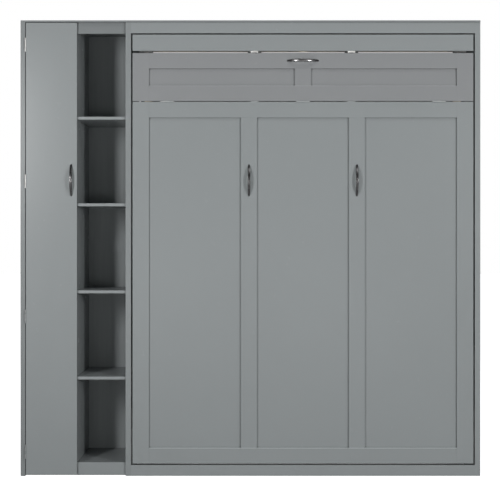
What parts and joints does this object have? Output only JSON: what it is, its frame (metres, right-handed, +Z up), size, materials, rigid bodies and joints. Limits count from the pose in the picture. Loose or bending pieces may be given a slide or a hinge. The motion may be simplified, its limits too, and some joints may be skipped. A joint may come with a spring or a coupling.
{
  "type": "murphy wall bed",
  "caption": "Vertical wall bed stowed in a painted cabinet, with a fold-out support leg in its face, beside a narrow closet and an open shelf column.",
  "frame": {"origin": "on the floor, at the centre of the overall footprint with the pull handles included", "axes": "+X to the right along the front, +Y into the wall, +Z up"},
  "size_m": [2.211, 0.488, 2.191],
  "materials": {
    "painted_wood": "satin grey paint on plywood and MDF",
    "back_panel": "matte grey paint on thin plywood",
    "slat_wood": "bare sanded pine",
    "hinge_steel": "satin nickel",
    "handle_metal": "polished dark nickel",
    "black_steel": "black powder coat",
    "rod_chrome": "ground and polished",
    "mattress_fabric": "knitted off-white cover",
    "strap_webbing": "woven black webbing"
  },
  "bodies": {
    "cabinet": {"closet_side": "painted_wood", "closet_divider": "painted_wood", "shared_side": "painted_wood", "bed_cabinet_side": "painted_wood", "top_board": "painted_wood", "closet_bottom": "painted_wood", "bed_top_rail": "painted_wood", "bed_bottom_rail": "painted_wood", "column_top_rail": "painted_wood", "column_plinth": "painted_wood", "column_shelf_1": "painted_wood", "column_shelf_2": "painted_wood", "column_shelf_3": "painted_wood", "column_shelf_4": "painted_wood", "column_back_lower": "back_panel", "column_back_upper": "back_panel", "column_back_batten": "back_panel", "closet_back": "back_panel", "closet_shelf": "painted_wood", "door_hinge_fixed_leaves": "hinge_steel", "wall_rail": "painted_wood", "headboard_panel": "painted_wood", "cabinet_pivot_plates": "black_steel"},
    "bed": {"main_sheet": "painted_wood", "main_stile_left": "painted_wood", "main_stile_right": "painted_wood", "main_stile_inner_left": "painted_wood", "main_stile_inner_right": "painted_wood", "main_rail_top": "painted_wood", "main_rail_bottom": "painted_wood", "bed_handle_left": "handle_metal", "bed_handle_right": "handle_metal", "leg_hinge_bed_leaves": "hinge_steel", "leg_catch_plates": "hinge_steel", "bed_side_rail_left": "painted_wood", "bed_side_rail_right": "painted_wood", "bed_head_rail": "painted_wood", "bed_foot_rail": "painted_wood", "deck_beams": "slat_wood", "deck_slats": "slat_wood", "mattress": "mattress_fabric", "mattress_straps": "strap_webbing", "bed_pivot_brackets": "black_steel"},
    "leg_flap": {"flap_sheet": "painted_wood", "flap_stile_left": "painted_wood", "flap_stile_right": "painted_wood", "flap_stile_centre": "painted_wood", "flap_rail_top": "painted_wood", "flap_rail_bottom": "painted_wood", "flap_handle": "handle_metal", "flap_hinge_leaves": "hinge_steel"},
    "foot_strip": {"foot_strip": "painted_wood", "foot_hinge_strip_leaves": "hinge_steel"},
    "closet_door": {"closet_door": "painted_wood", "closet_handle": "handle_metal", "door_hinge_door_leaves": "hinge_steel"},
    "strut_left_tube": {"strut_left_tube": "black_steel"},
    "strut_left_rod": {"strut_left_rod": "rod_chrome"},
    "strut_right_tube": {"strut_right_tube": "black_steel"},
    "strut_right_rod": {"strut_right_rod": "rod_chrome"}
  },
  "joints": [
    {"name": "bed_tilt", "type": "hinge", "parent": "cabinet", "child": "bed", "pos_m": [0.25225, -0.121, 0.3485], "axis": [1, 0, 0], "range_deg": [0, 90]},
    {"name": "leg_fold", "type": "hinge", "parent": "bed", "child": "leg_flap", "pos_m": [0.25225, -0.209, 1.8015], "axis": [1, 0, 0], "range_deg": [0, 90]},
    {"name": "foot_fold", "type": "hinge", "parent": "leg_flap", "child": "foot_strip", "pos_m": [0.25225, -0.209, 2.0395], "axis": [1, 0, 0], "range_deg": [0, 90]},
    {"name": "closet_door_swing", "type": "hinge", "parent": "cabinet", "child": "closet_door", "pos_m": [-1.081, -0.217, 1.0955], "axis": [0, 0, -1], "range_deg": [0, 110]},
    {"name": "strut_left_swing", "type": "hinge", "parent": "cabinet", "child": "strut_left_tube", "pos_m": [-0.557, -0.001, 1.0985], "axis": [1, 0, 0], "range_deg": [0, 5.9]},
    {"name": "strut_left_stroke", "type": "slide", "parent": "strut_left_tube", "child": "strut_left_rod", "axis": [0, 0.0847, 0.9964], "range_m": [0, 0.1809]},
    {"name": "strut_right_swing", "type": "hinge", "parent": "cabinet", "child": "strut_right_tube", "pos_m": [1.0615, -0.001, 1.0985], "axis": [1, 0, 0], "range_deg": [0, 5.9]},
    {"name": "strut_right_stroke", "type": "slide", "parent": "strut_right_tube", "child": "strut_right_rod", "axis": [0, 0.0847, 0.9964], "range_m": [0, 0.1809]}
  ],
  "couplings": [
    {"joint": "strut_left_swing", "follows": "bed_tilt", "ratio": 0.065318},
    {"joint": "strut_left_stroke", "follows": "bed_tilt", "m_per_rad": 0.115},
    {"joint": "strut_right_swing", "follows": "bed_tilt", "ratio": 0.065318},
    {"joint": "strut_right_stroke", "follows": "bed_tilt", "m_per_rad": 0.115}
  ]
}
